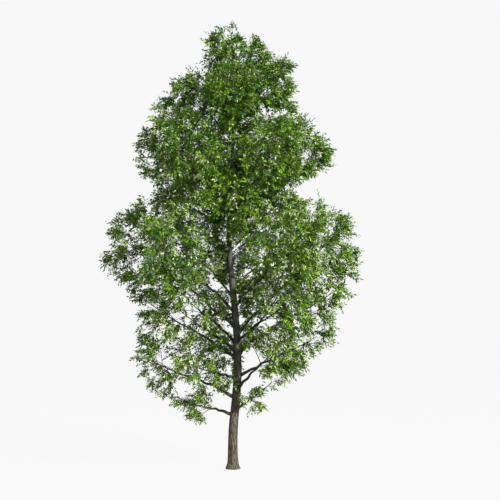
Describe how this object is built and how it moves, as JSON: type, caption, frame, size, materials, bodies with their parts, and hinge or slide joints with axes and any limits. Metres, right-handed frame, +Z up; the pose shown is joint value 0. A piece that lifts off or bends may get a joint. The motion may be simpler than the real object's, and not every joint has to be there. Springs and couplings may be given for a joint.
{
  "type": "poplar tree",
  "caption": "Tall upright poplar in full leaf: a straight flared trunk, rising boughs and rounded masses of foliage, fixed at its flat ground cut.",
  "frame": {"origin": "middle of the flat cut under the trunk, at ground level", "axes": "+Z up along the trunk, +X east, which is to the right when the tree is seen from the south, +Y north"},
  "size_m": [11.5145, 9.4641, 19.9194],
  "materials": {
    "trunk_bark": "matt, furrowed grey-brown bark",
    "limb_bark": "matt, smoother grey-brown bark",
    "foliage": "satin green leaves"
  },
  "bodies": {
    "root": {"trunk": "trunk_bark", "bough_shoulder_west": "limb_bark", "bough_shoulder_southwest": "limb_bark", "bough_shoulder_southeast": "limb_bark", "bough_shoulder_east": "limb_bark", "bough_shoulder_northeast": "limb_bark", "bough_shoulder_northwest": "limb_bark", "bough_wide_west": "limb_bark", "bough_wide_southwest": "limb_bark", "bough_wide_southeast": "limb_bark", "bough_wide_east": "limb_bark", "bough_wide_northeast": "limb_bark", "bough_wide_northwest": "limb_bark", "bough_low_west": "limb_bark", "bough_low_southwest": "limb_bark", "bough_low_southeast": "limb_bark", "bough_low_east": "limb_bark", "bough_low_northeast": "limb_bark", "bough_low_northwest": "limb_bark", "bough_skirt_west": "limb_bark", "bough_skirt_southwest": "limb_bark", "bough_skirt_southeast": "limb_bark", "bough_skirt_east": "limb_bark", "bough_skirt_north": "limb_bark", "bough_hem_west": "limb_bark", "bough_hem_east": "limb_bark", "foliage_top_middle": "foliage", "foliage_head_west": "foliage", "foliage_head_east": "foliage", "foliage_head_south": "foliage", "foliage_head_north": "foliage", "foliage_shoulder_west": "foliage", "foliage_shoulder_southwest": "foliage", "foliage_shoulder_southeast": "foliage", "foliage_shoulder_east": "foliage", "foliage_shoulder_northeast": "foliage", "foliage_shoulder_northwest": "foliage", "foliage_neck_west": "foliage", "foliage_neck_east": "foliage", "foliage_neck_south": "foliage", "foliage_neck_north": "foliage", "foliage_wide_west": "foliage", "foliage_wide_southwest": "foliage", "foliage_wide_southeast": "foliage", "foliage_wide_east": "foliage", "foliage_wide_northeast": "foliage", "foliage_wide_northwest": "foliage", "foliage_low_west": "foliage", "foliage_low_southwest": "foliage", "foliage_low_southeast": "foliage", "foliage_low_east": "foliage", "foliage_low_northeast": "foliage", "foliage_low_northwest": "foliage", "foliage_skirt_west": "foliage", "foliage_skirt_southwest": "foliage", "foliage_skirt_southeast": "foliage", "foliage_skirt_east": "foliage", "foliage_skirt_north": "foliage", "foliage_hem_west": "foliage", "foliage_hem_east": "foliage"}
  },
  "joints": []
}
